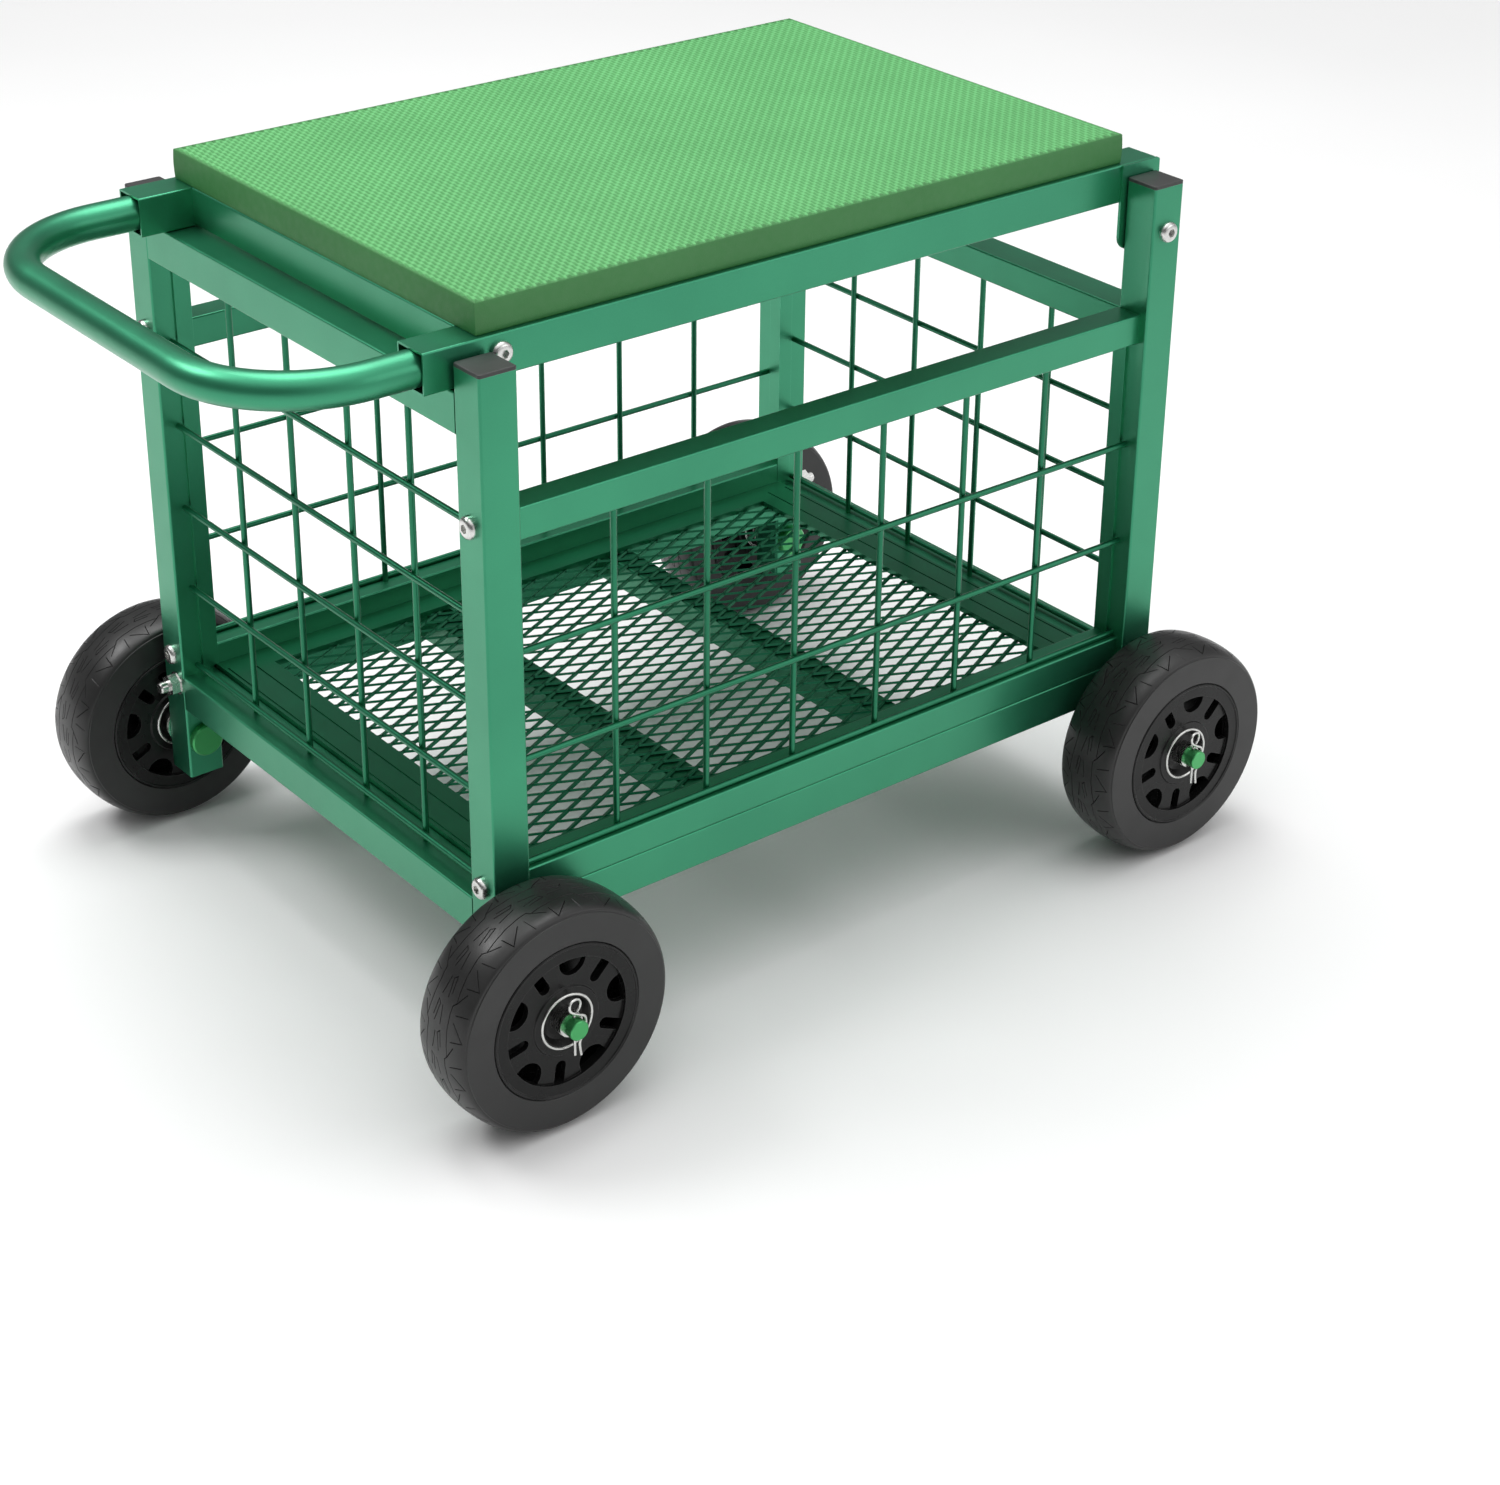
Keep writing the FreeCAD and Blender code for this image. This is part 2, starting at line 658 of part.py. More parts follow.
def hub_windows():
    """Cutter for the wide and narrow windows between the spokes, on both faces of the middle web."""
    depth = 2 * (TYRE_HALF_W + OVERCUT)
    low = -depth / 2
    flare = [
        V(-WIDE_R, low, WIDE_AT),
        V(WIDE_R, low, WIDE_AT),
        V(WIDE_RIM_HALF, low, WINDOW_END),
        V(-WIDE_RIM_HALF, low, WINDOW_END),
    ]
    flare = Part.Face(Part.makePolygon(flare + [flare[0]])).extrude(V(0, depth, 0))
    slot = box(-NARROW_R, NARROW_R, low, -low, NARROW_AT, WINDOW_END)
    windows = []
    step = 360 / SPOKES
    for i in range(SPOKES):
        wide = Part.makeCylinder(WIDE_R, depth, V(0, low, WIDE_AT), Y_AXIS).fuse(flare)
        wide.rotate(ORIGIN, Y_AXIS, step * i - HUB_TURN_DEG)
        narrow = Part.makeCylinder(NARROW_R, depth, V(0, low, NARROW_AT), Y_AXIS).fuse(slot)
        narrow.rotate(ORIGIN, Y_AXIS, step * (i + 0.5) - HUB_TURN_DEG)
        windows += [wide, narrow]
    web = Part.makeCylinder(WINDOW_END, 2 * WEB_HALF_T, V(0, -WEB_HALF_T, 0), Y_AXIS)
    within = Part.makeCylinder(WINDOW_RIM_R, depth, V(0, low, 0), Y_AXIS).cut(web)
    cutter = windows[0].multiFuse(windows[1:]).common(within)
    cutter.translate(V(0, WHEEL_MID_Y, 0))
    return cutter


def hub():
    """Moulded hub: hollow shell, a middle web, and windows between the spokes."""
    half = list(HUB_HALF_PROFILE)
    body = turned(shifted(half + [(r, -w) for r, w in reversed(half)]))
    r0, r1, w0, w1 = HUB_SHELL
    for w in (1, -1):
        shell = turned(shifted([(r0, w * w0), (r1, w * w0), (r1, w * w1), (r0, w * w1)]))
        groove = Part.makeTorus(RING_R, RING_SEAT_R, V(0, WHEEL_MID_Y + w * RING_OUT, 0), Y_AXIS)
        body = body.cut(shell).cut(groove)
    return body.cut(hub_windows())


def hub_rings():
    rings = []
    for w in (1, -1):
        rings.append(Part.makeTorus(RING_R, RING_WIRE_R, V(0, WHEEL_MID_Y + w * RING_OUT, 0), Y_AXIS))
    return group(rings)


def bushing():
    bore = AXLE_R + BUSHING_PLAY
    return turned(
        shifted([(bore, BUSHING_IN), (BUSHING_R, BUSHING_IN), (BUSHING_R, BUSHING_OUT), (bore, BUSHING_OUT)])
    )


# the whole cart -----------------------------------------------------------------------------
def build_frame():
    for end, ex in ENDS.items():
        for side in SIDES:
            save("post_%s_%s" % (side, end), post(end, side))
        save("cross_rail_%s_lower" % end, cross_rail(ex, END_LOW_Z, RAIL))
        save("wire_panel_" + end, end_wires(end))
    save("cross_rail_handle_upper", cross_rail(ENDS["handle"], HANDLE_UP_Z, RAIL))
    save("cross_rail_hinge_upper", cross_rail(ENDS["hinge"], PANEL_TOP_Z, PANEL_RAIL))
    for side, sy in SIDES.items():
        save("base_rail_" + side, side_rail(sy, BASE_Z, RAIL))
        save("panel_rail_%s_top" % side, side_rail(sy, PANEL_TOP_Z, PANEL_RAIL))
        save("panel_rail_%s_bottom" % side, side_rail(sy, PANEL_LOW_Z, PANEL_RAIL))
        save("wire_panel_" + side, side_wires(sy))
    corners = [(end, side) for end in ENDS for side in SIDES]
    save("post_caps", group(post_cap(ENDS[end], SIDES[side]) for end, side in corners))
    save("corner_edging", group(corner_angle(end, SIDES[side]) for end, side in corners))
    save("floor_mesh", floor_sheet())
    save("floor_border", floor_border())
    save("floor_bars", floor_bars())
    save("frame_bolts", frame_bolts())
    save("foot_bolts", foot_bolts())
    save("pivot_bolts", pivot_bolts())


def build_lid():
    for side, sy in SIDES.items():
        save("lid_tube_" + side, lid_tube(sy))
        save("hinge_plate_" + side, hinge_plate(sy))
    save("lid_bars", lid_bars())
    save("seat_pad", seat_pad())
    save("lock_screws", lock_screws())
    save("handle_tube", handle_tube())


def build_wheels():
    pieces = {
        "axle": axle(), "tyre": tyre(), "hub": hub(), "hub_rings": hub_rings(), "bushing": bushing()
    }
    for end, ex in ENDS.items():
        for side, sy in SIDES.items():
            for name, piece in pieces.items():
                save("%s_%s_%s" % (name, side, end), at_corner(piece, ex, sy))
    save("axle_washers", at_corners([washer(POST_WASHER), washer(TIP_WASHER)]))
    save("hairpin_clips", at_corners([hairpin_clip()]))


os.makedirs("parts", exist_ok=True)
build_frame()
build_lid()
build_wheels()
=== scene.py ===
import math

import bmesh
import bpy
import numpy as np
from mathutils import Matrix, Vector
from mathutils.geometry import delaunay_2d_cdt


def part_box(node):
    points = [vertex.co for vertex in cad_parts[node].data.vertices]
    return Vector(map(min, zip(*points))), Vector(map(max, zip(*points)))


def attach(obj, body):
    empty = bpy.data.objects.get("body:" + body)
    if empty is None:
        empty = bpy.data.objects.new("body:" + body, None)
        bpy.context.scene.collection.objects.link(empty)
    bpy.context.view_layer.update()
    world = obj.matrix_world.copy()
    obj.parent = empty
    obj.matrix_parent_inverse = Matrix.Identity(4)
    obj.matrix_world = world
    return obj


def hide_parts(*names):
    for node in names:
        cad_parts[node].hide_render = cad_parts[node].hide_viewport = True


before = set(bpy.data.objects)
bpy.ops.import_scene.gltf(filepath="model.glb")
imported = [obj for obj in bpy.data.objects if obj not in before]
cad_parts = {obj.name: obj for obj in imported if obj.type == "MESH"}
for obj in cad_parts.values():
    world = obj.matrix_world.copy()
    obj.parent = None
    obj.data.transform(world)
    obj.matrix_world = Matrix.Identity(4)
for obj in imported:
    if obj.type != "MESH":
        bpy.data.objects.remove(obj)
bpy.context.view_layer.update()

# Rolling garden seat. Metres, in the frame's own axes: -X the handle end, -Y the near side, Z up.
MM = 0.001
SIDES = ("near", "far")
ENDS = ("handle", "hinge")
WHEELS = [(side, end) for side in SIDES for end in ENDS]
CORNERS = ((-1, -1), (1, -1), (1, 1), (-1, 1))


# ------------------------------------------------------------------------------ node materials
class Look:
    """One procedural material: a Principled BSDF, and short calls for the nodes that feed it."""

    def __init__(self, name, **values):
        self.material = bpy.data.materials.new(name)
        self.material.use_nodes = True
        self.tree = self.material.node_tree
        self.shader = self.tree.nodes["Principled BSDF"]
        for key, value in values.items():
            self.shader.inputs[key.replace("_", " ")].default_value = value
        self.place = self.node("ShaderNodeTexCoord").outputs["Object"]
        self.height = None

    def node(self, kind, **settings):
        made = self.tree.nodes.new(kind)
        for key, value in settings.items():
            setattr(made, key, value)
        return made

    def feed(self, source, target):
        if isinstance(source, (int, float, tuple)):
            target.default_value = source
        else:
            self.tree.links.new(source, target)

    def stretched(self, scale):
        mapping = self.node("ShaderNodeMapping")
        self.feed(self.place, mapping.inputs["Vector"])
        mapping.inputs["Scale"].default_value = scale
        return mapping.outputs["Vector"]

    def noise(self, scale, detail=2.0, roughness=0.5, place=None):
        made = self.node("ShaderNodeTexNoise")
        self.feed(place or self.place, made.inputs["Vector"])
        made.inputs["Scale"].default_value = scale
        made.inputs["Detail"].default_value = detail
        made.inputs["Roughness"].default_value = roughness
        return made.outputs["Fac"]

    def cells(self, scale, place=None):
        made = self.node("ShaderNodeTexVoronoi")
        self.feed(place or self.place, made.inputs["Vector"])
        made.inputs["Scale"].default_value = scale
        return made.outputs["Distance"]

    def span(self, source, low, high, to_low=0.0, to_high=1.0):
        made = self.node("ShaderNodeMapRange")
        self.feed(source, made.inputs["Value"])
        for key, value in zip(("From Min", "From Max", "To Min", "To Max"), (low, high, to_low, to_high)):
            made.inputs[key].default_value = value
        return made.outputs["Result"]

    def math(self, operation, first, second=0.0):
        made = self.node("ShaderNodeMath", operation=operation)
        self.feed(first, made.inputs[0])
        self.feed(second, made.inputs[1])
        return made.outputs[0]

    def blend(self, factor, first, second):
        made = self.node("ShaderNodeMix", data_type="RGBA")
        self.feed(factor, made.inputs["Factor"])
        self.feed(first, made.inputs["A"])
        self.feed(second, made.inputs["B"])
        return made.outputs["Result"]

    def worn_and_highlit_edges(self, reach):
        """Paler edges, patchy wear plus a painted edge highlight: near 1 along sharp edges and 0 on flats,
        from how fast the surface turns.
        """
        made = self.node("ShaderNodeBevel", samples=4)
        made.inputs["Radius"].default_value = reach
        flat = self.node("ShaderNodeNewGeometry").outputs["Normal"]
        dot = self.node("ShaderNodeVectorMath", operation="DOT_PRODUCT")
        self.feed(made.outputs["Normal"], dot.inputs[0])
        self.feed(flat, dot.inputs[1])
        edge = self.span(dot.outputs["Value"], 0.99, 0.85)
        return self.math("MULTIPLY", edge, self.span(self.noise(90.0, 3.0), 0.35, 0.6, 0.35, 1.0))

    def colour(self, source):
        self.feed(source, self.shader.inputs["Base Color"])

    def roughness(self, source):
        self.feed(source, self.shader.inputs["Roughness"])

    def bump(self, source, depth, strength=1.0):
        made = self.node("ShaderNodeBump")
        self.feed(source, made.inputs["Height"])
        made.inputs["Distance"].default_value = depth
        made.inputs["Strength"].default_value = strength
        if self.height is not None:
            self.feed(self.height, made.inputs["Normal"])
        self.height = made.outputs["Normal"]
        self.feed(self.height, self.shader.inputs["Normal"])


def rgb(red, green, blue):
    return (red, green, blue, 1.0)


def grey(level):
    return rgb(level, level, level)


PAINT_WEAR_AND_HIGHLIGHT = 0.6 * MM    # how far the paler edge, wear plus painted highlight, reaches from an edge
MOULDED_WEAR_AND_HIGHLIGHT = 0.7 * MM


def paint(name, deep, light, worn_and_highlit, peel=1.0):
    """Satin metallic powder coat: fine orange peel, faint flake, and paler edges: patchy wear of thinner
    paint, plus a painted edge highlight.
    """
    look = Look(name, Metallic=0.85, Coat_Weight=0.35, Coat_Roughness=0.25)
    broad = look.noise(9.0, 3.0)
    flake = look.noise(2600.0, 1.0)
    tone = look.math("ADD", look.span(broad, 0.35, 0.65, 0.0, 0.7), look.span(flake, 0.4, 0.6, 0.0, 0.3))
    look.colour(look.blend(look.worn_and_highlit_edges(PAINT_WEAR_AND_HIGHLIGHT), look.blend(tone, deep, light), worn_and_highlit))
    look.roughness(look.span(look.noise(30.0, 4.0), 0.3, 0.7, 0.34, 0.4))
    look.bump(look.noise(420.0, 2.0), 0.00005 * peel, 0.35)
    look.bump(look.noise(1500.0, 1.0), 0.00003 * peel, 0.5)
    return look.material


def foam(name, deep, light, rough):
    """Closed-cell foam: matt, with fine pores and soft blotches."""
    look = Look(name)
    broad = look.noise(14.0, 3.0)
    pores = look.cells(1400.0)
    tone = look.math("ADD", look.span(broad, 0.3, 0.7, 0.0, 0.6), look.span(pores, 0.0, 0.5, 0.0, 0.4))
    look.colour(look.blend(tone, deep, light))
    look.roughness(look.span(look.noise(200.0, 2.0), 0.3, 0.7, rough - 0.06, rough + 0.06))
    look.bump(pores, 0.00012, 0.5)
    look.bump(look.noise(900.0, 2.0), 0.00008, 0.4)
    return look.material


def moulded(name, deep, light, worn_and_highlit, rough, grain, depth, sheen=0.45):
    """Moulded plastic or rubber: fine grain, faint blotches and paler edges: slight scuffs plus a painted
    edge highlight.
    """
    look = Look(name, Specular_IOR_Level=sheen)
    blotch = look.span(look.noise(26.0, 4.0), 0.3, 0.7)
    look.colour(look.blend(look.worn_and_highlit_edges(MOULDED_WEAR_AND_HIGHLIGHT), look.blend(blotch, deep, light), worn_and_highlit))
    look.roughness(look.span(look.noise(60.0, 3.0), 0.3, 0.7, rough - 0.05, rough + 0.07))
    look.bump(look.noise(grain, 2.0), depth, 0.5)
    return look.material


def steel(name, rough):
    """Bright zinc-plated steel with fine turning marks."""
    look = Look(name, Metallic=1.0)
    fine = look.noise(300.0, 3.0, place=look.stretched((1.0, 6.0, 1.0)))
    look.colour(look.blend(look.span(fine, 0.3, 0.7), rgb(0.58, 0.585, 0.57), rgb(0.72, 0.72, 0.70)))
    look.roughness(look.span(fine, 0.3, 0.7, rough - 0.05, rough + 0.08))
    look.bump(fine, 0.00003, 0.4)
    return look.material


# the third colour of each paint and moulded finish is its paler edge colour: wear plus a painted edge
# highlight
FRAME_PAINT = paint("frame_paint", rgb(0.030, 0.265, 0.138), rgb(0.040, 0.31, 0.162), rgb(0.085, 0.43, 0.26))
AXLE_PAINT = paint("axle_paint", rgb(0.05, 0.36, 0.11), rgb(0.07, 0.42, 0.13), rgb(0.11, 0.52, 0.20))
WIRE_PAINT = paint("wire_paint", rgb(0.008, 0.16, 0.075), rgb(0.012, 0.20, 0.095), rgb(0.02, 0.24, 0.12), 0.5)
PAD_FOAM = foam("pad_foam", rgb(0.10, 0.38, 0.125), rgb(0.13, 0.455, 0.16), 0.5)
# darker copy of the pad foam: painted shade in the dimples
DIMPLE_SHADE_FOAM = foam("dimple_shade_foam", rgb(0.058, 0.26, 0.074), rgb(0.076, 0.31, 0.092), 0.6)
# darker copy of the pad foam: painted shade on the pad's sides
SIDE_SHADE_FOAM = foam("side_shade_foam", rgb(0.034, 0.17, 0.042), rgb(0.046, 0.21, 0.056), 0.6)
CAP_PLASTIC = moulded("cap_plastic", grey(0.031), grey(0.045), grey(0.08), 0.42, 1600.0, 0.00006)
TYRE_RUBBER = moulded("tyre_rubber", grey(0.013), grey(0.019), grey(0.022), 0.34, 2200.0, 0.00004)
HUB_PLASTIC = moulded("hub_plastic", grey(0.005), grey(0.009), grey(0.06), 0.28, 1800.0, 0.00001, 0.22)
BRIGHT_STEEL = steel("bright_steel", 0.22)


# --------------------------------------------------------------------------- carried CAD nodes
STEEL_NODES = (
    "axle_washers", "hub_rings", "bushing_", "hairpin_clips", "frame_bolts", "foot_bolts", "pivot_bolts",
    "lock_screws",
)
FINISHES = {
    **dict.fromkeys(STEEL_NODES, BRIGHT_STEEL),
    "wire_panel": WIRE_PAINT,
    "floor_": WIRE_PAINT,
    "post_caps": CAP_PLASTIC,
    "axle_": AXLE_PAINT,
    "hub_": HUB_PLASTIC,
    "tyre_": TYRE_RUBBER,
    "seat_pad": PAD_FOAM,
}
SHARP_TURN = 32.0        # edges that turn by more than this, in degrees, stay sharp


def finish_of(name):
    """The material of a node, by the first start of a name that fits; the rest is painted frame."""
    for start, material in FINISHES.items():
        if name.startswith(start):
            return material
    return FRAME_PAINT


def wear(obj, material):
    obj.data.materials.clear()
    obj.data.materials.append(material)


def finish_nodes():
    for name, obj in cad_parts.items():
        wear(obj, finish_of(name))
        obj.data.shade_smooth()
        obj.data.set_sharp_from_angle(angle=math.radians(SHARP_TURN))


# ------------------------------------------------------------------------------------- meshes
SHORTEST = 1e-8          # a run shorter than this is a point
WELD = 2e-6              # points closer than this are one
CDT_STEP = 1e-5          # the triangulation's own tolerance, in mm
FAR = 1e9
CLEAR_OF_LIP = 1.6       # grid points keep this many groove half widths from a groove


def piece(name, verts, faces, body, material, replaced=(), sharp=35.0):
    """A mesh piece that rides on a body, with smooth faces and sharp edges past the angle given."""
    mesh = bpy.data.meshes.new(name)
    mesh.from_pydata(verts, [], faces)
    mesh.validate()
    obj = bpy.data.objects.new(name, mesh)
    bpy.context.scene.collection.objects.link(obj)
    wear(obj, material)
    mesh.shade_smooth()
    mesh.set_sharp_from_angle(angle=math.radians(sharp))
    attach(obj, body)
    if replaced:
        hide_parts(*replaced)
    return obj


def cleaned(verts, faces):
    """Merges points that meet, and turns every face outwards."""
    mesh = bmesh.new()
    made = [mesh.verts.new(v) for v in verts]
    for face in faces:
        try:
            mesh.faces.new([made[i] for i in face])
        except ValueError:
            pass
    bmesh.ops.remove_doubles(mesh, verts=mesh.verts, dist=WELD)
    bmesh.ops.recalc_face_normals(mesh, faces=mesh.faces)
    mesh.verts.index_update()
    out = [tuple(v.co) for v in mesh.verts], [[v.index for v in f.verts] for f in mesh.faces]
    mesh.free()
    return out


def distance(points, start, end):
    """Distance of each point from the segment between two points, in the plane."""
    along = end - start
    share = np.clip(((points - start) @ along) / (along @ along), 0, 1)
    return np.linalg.norm(points - start - share[:, None] * along, axis=1)


def clipped(start, end, width):
    """The part of a segment with its first coordinate between 0 and the width, or None."""
    low, high = 0.0, 1.0
    run = end[0] - start[0]
    if abs(run) < SHORTEST:
        return (start, end) if 0 <= start[0] <= width else None
    for bound, sign in ((0.0, 1.0), (width, -1.0)):
        share = (bound - start[0]) / run
        if run * sign > 0:
            low = max(low, share)
        else:
            high = min(high, share)
    if high <= low:
        return None
    return start + (end - start) * low, start + (end - start) * high


def repeating_cell(width, height, lines, groove, grid, wrap_height=False):
    """Triangles for one repeat of a grooved sheet: (points, faces, depth of each point from 0 to 1).

    Lines are lists of points, which may run past the repeat's ends. Each becomes a V groove of the
    half width given: a constrained line at its bottom and one along each lip."""
    shifts_u = (-width, 0.0, width)
    shifts_v = (-height, 0.0, height) if wrap_height else (0.0,)
    centres = []
    for line in lines:
        for a, b in zip(line, line[1:]):
            for du in shifts_u:
                for dv in shifts_v:
                    shift = np.array([du, dv])
                    centres.append((np.array(a) + shift, np.array(b) + shift))
    points, edges = [], []

    def add(start, end):
        edges.append((len(points), len(points) + 1))
        points.extend((start, end))

    def keep(start, end):
        part = clipped(start, end, width)
        if part is not None and wrap_height:
            flipped = clipped(part[0][::-1], part[1][::-1], height)
            part = None if flipped is None else (flipped[0][::-1], flipped[1][::-1])
        if part is not None and np.linalg.norm(part[0] - part[1]) > SHORTEST:
            add(*part)

    for start, end in centres:
        along = (end - start) / np.linalg.norm(end - start)
        side = np.array([-along[1], along[0]]) * groove
        cap = along * groove
        keep(start, end)
        keep(start + side - cap, end + side + cap)
        keep(start - side - cap, end - side + cap)
        keep(start + side - cap, start - side - cap)
        keep(end + side + cap, end - side + cap)
    columns, rows = grid
    us = np.linspace(0, width, columns + 1)
    vs = np.linspace(0, height, rows + 1)
    for fixed in (0.0, height):
        for u0, u1 in zip(us, us[1:]):
            add(np.array([u0, fixed]), np.array([u1, fixed]))
    for fixed in (0.0, width):
        for v0, v1 in zip(vs, vs[1:]):
            add(np.array([fixed, v0]), np.array([fixed, v1]))
    inner = np.array([(u, v) for u in us[1:-1] for v in vs[1:-1]])
    near = np.full(len(inner), FAR)
    for start, end in centres:
        near = np.minimum(near, distance(inner, start, end))
    points.extend(inner[near > groove * CLEAR_OF_LIP])
    verts, _, faces, _, _, _ = delaunay_2d_cdt([Vector(p) / MM for p in points], edges, [], 0, CDT_STEP)
    at = np.array([tuple(v) for v in verts]) * MM
    near = np.full(len(at), FAR)
    for start, end in centres:
        near = np.minimum(near, distance(at, start, end))
    return at, faces, np.clip(1 - near / groove, 0, 1)


# -------------------------------------------------------------------------------------- tyres
TREAD_REPEATS = 14
TREAD_R = 70.0 * MM
CROWN_RISE = 6.0 * MM
TREAD_HALF = 23.0 * MM
PERIOD = 2 * math.pi * (TREAD_R + CROWN_RISE) / TREAD_REPEATS
GROOVE_HALF = 0.34 * MM
GROOVE_DEEP = 0.8 * MM
TYRE_TURN = 11.0         # degrees between one tyre's tread and the next one's
TREAD_GRID = (12, 24)
ON_CROWN = 0.002         # how far off the crown's ellipse a point of its skin may be
# one half's grooves over one repeat: distance round the tyre, and distance from its middle plane, mm
HALF_GROOVES = (
    ((-1.0, 8.8), (1.2, 11.0), (8.0, 10.2), (18.0, 9.2), (28.0, 8.7), (33.1, 8.8)),
    ((1.2, 11.0), (9.0, 15.5)),
    ((12.0, 13.0), (14.0, 21.0)),
    ((29.0, 13.0), (31.0, 21.0)),
    ((14.5, 20.5), (24.0, 13.0)),
    ((2.0, 3.2), (13.0, 1.4), (15.0, 3.6), (5.0, 5.0)),
    ((19.0, 2.5), (30.0, 1.0)),
)
# sidewall from the shoulder to the bead: radius and distance from the middle plane, mm
SIDEWALL = ((69.7, 23.6), (66.0, 23.6), (60.0, 23.6), (54.0, 23.6), (51.5, 23.6), (50.9, 23.1), (50.6, 22.6))
BORE = (50.6, 0.0)


class Crown:
    """The tyre's elliptical crown, by arc length from its middle plane."""

    slope = np.linspace(0, math.pi / 2, 400)
    across = TREAD_HALF * np.sin(slope)
    radius = TREAD_R + CROWN_RISE * np.cos(slope)
    arc = np.concatenate([[0], np.cumsum(np.hypot(np.diff(across), np.diff(radius)))])
    half = arc[-1]

    @classmethod
    def arc_at(cls, across):
        return float(np.interp(across, cls.across, cls.arc))

    @classmethod
    def point(cls, arc):
        return np.interp(arc, cls.arc, cls.across), np.interp(arc, cls.arc, cls.radius)


def tread():
    """The grooved crown as (angle, distance across, radius) points and faces, for a whole tyre."""
    lines = []
    for line in HALF_GROOVES:
        steps = [(u * MM, Crown.arc_at(v * MM)) for u, v in line]
        lines.append([(u, Crown.half + v) for u, v in steps])
        lines.append([(u + PERIOD / 2, Crown.half - v) for u, v in steps])
    at, faces, deep = repeating_cell(PERIOD, 2 * Crown.half, lines, GROOVE_HALF, TREAD_GRID)
    signed = at[:, 1] - Crown.half
    across, radius = Crown.point(np.abs(signed))
    across = across * np.sign(signed)
    radius = radius - GROOVE_DEEP * deep
    step = 2 * math.pi / TREAD_REPEATS
    verts, all_faces = [], []
    for i in range(TREAD_REPEATS):
        angle = at[:, 0] / PERIOD * step + i * step
        all_faces += [[v + len(verts) for v in face] for face in faces]
        verts += list(zip(angle, across, radius))
    return verts, all_faces


def tyre_mesh():
    verts, faces = tread()
    around = TREAD_GRID[0] * TREAD_REPEATS
    for sign in (1, -1):
        profile = [(TREAD_R, sign * TREAD_HALF)] + [(r * MM, sign * w * MM) for r, w in SIDEWALL + (BORE,)]
        n = len(profile)
        start = len(verts)
        for i in range(around):
            angle = 2 * math.pi * i / around
            verts += [(angle, w, r) for r, w in profile]
        for i in range(around):
            a = start + i * n
            b = start + (i + 1) % around * n
            faces += [[a + k, a + k + 1, b + k + 1, b + k] for k in range(n - 1)]
    return cleaned([(r * math.cos(a), w, r * math.sin(a)) for a, w, r in verts], faces)


def crown_normal(offset):
    """The crown's outward direction at a point measured from the wheel's centre, or None off the crown."""
    reach = math.hypot(offset.x, offset.z)
    rise = reach - TREAD_R
    if abs((offset.y / TREAD_HALF) ** 2 + (rise / CROWN_RISE) ** 2 - 1) > ON_CROWN:
        return None
    outward = rise / CROWN_RISE ** 2 / reach
    return Vector((offset.x * outward, offset.y / TREAD_HALF ** 2, offset.z * outward)).normalized()


def smooth_crown(mesh, centre):
    """Shades the skin between the grooves as one smooth crown; groove walls and sidewalls keep their own."""
    normals = [Vector()] * len(mesh.loops)
    for face in mesh.polygons:
        outward = [crown_normal(mesh.vertices[v].co - centre) for v in face.vertices]
        if None not in outward:
            for loop, normal in zip(face.loop_indices, outward):
                normals[loop] = normal
    mesh.normals_split_custom_set(normals)


def build_tyres():
    verts, faces = tyre_mesh()
    for index, (side, end) in enumerate(WHEELS):
        node = "tyre_%s_%s" % (side, end)
        low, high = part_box(node)
        centre = (low + high) / 2
        sign = -1 if side == "near" else 1
        turn = Matrix.Rotation(math.radians(TYRE_TURN * index), 4, "Y")
        placed = []
        for x, y, z in verts:
            spun = turn @ Vector((sign * x, sign * y, z))
            placed.append(tuple(centre + spun))
        wheel = "wheel_%s_%s" % (side, end)
        tyre = piece("tread_" + node, placed, faces, wheel, TYRE_RUBBER, [node])
        smooth_crown(tyre.data, centre)


# ---------------------------------------------------------------------------------------- pad
PAD_CELL = 6.9 * MM      # two staggered dimples per cell
DIMPLE_LONG = 4.4 * MM
DIMPLE_LEAN = 1.0 * MM
DIMPLE_HALF = 1.0 * MM
DIMPLE_DEEP = 1.0 * MM
DIMPLE_GRID = (4, 4)
PAD_EDGE = 0.7 * MM
PAD_CROWN = 0.6 * MM
PAD_SWELL = 0.35 * MM
PAD_ROUND = (0.55, 0.2)  # the middle of the rounded edge: shares of its reach outwards and downwards
SIDE_ROWS = 6
ON_RIM = 0.001 * MM
DIMPLE_SHADE, SIDE_SHADE = 1, 2     # places in the pad's list of materials of the two darker foams: painted shade in the dimples and on the sides


def pad_height(x, y, half):
    """Height of the pad's top between its dimples, with a slight crown."""
    return half.z - PAD_CROWN * (1 - (1 - (x / half.x) ** 4) * (1 - (y / half.y) ** 4))


def dimpled_top(half, flat):
    """The pad's pressed top as points round its centre, and faces."""
    counts = [round(2 * length / PAD_CELL) for length in flat]
    size = [2 * length / count for length, count in zip(flat, counts)]
    lines = []
    for part in (0.25, 0.75):
        u, v = part * size[0], part * size[1]
        lean, long = DIMPLE_LEAN / 2, DIMPLE_LONG / 2
        lines.append([(u - lean, v - long), (u + lean, v + long)])
    at, faces, deep = repeating_cell(*size, lines, DIMPLE_HALF, DIMPLE_GRID, wrap_height=True)
    verts, all_faces = [], []
    for i in range(counts[0]):
        for j in range(counts[1]):
            x = at[:, 0] + i * size[0] - flat[0]
            y = at[:, 1] + j * size[1] - flat[1]
            z = pad_height(x, y, half) - DIMPLE_DEEP * deep
            all_faces += [[v + len(verts) for v in face] for face in faces]
            verts += list(zip(x, y, z))
    return cleaned(verts, all_faces)


